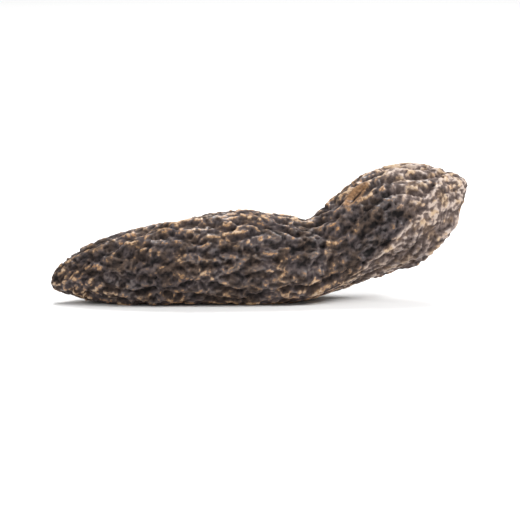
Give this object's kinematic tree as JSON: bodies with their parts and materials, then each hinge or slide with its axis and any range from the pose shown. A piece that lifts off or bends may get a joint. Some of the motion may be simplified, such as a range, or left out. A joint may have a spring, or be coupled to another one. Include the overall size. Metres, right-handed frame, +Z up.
{
  "type": "tonka bean",
  "caption": "Long dried seed with a wrinkled near-black skin, a blunt end, a raised beaked end, a flattened back edge and a small tan scar, lying on its back edge.",
  "frame": {"origin": "under the middle of the bean, on the surface that it rests on", "axes": "+X along the bean from its blunt end to its beak, +Y through its thickness and away from the viewer, +Z up"},
  "size_m": [0.0332, 0.0088, 0.0108],
  "materials": {
    "dried_skin": "waxy, wrinkled, near black with tan crests"
  },
  "bodies": {
    "root": {"tonka_bean": "dried_skin"}
  },
  "joints": []
}
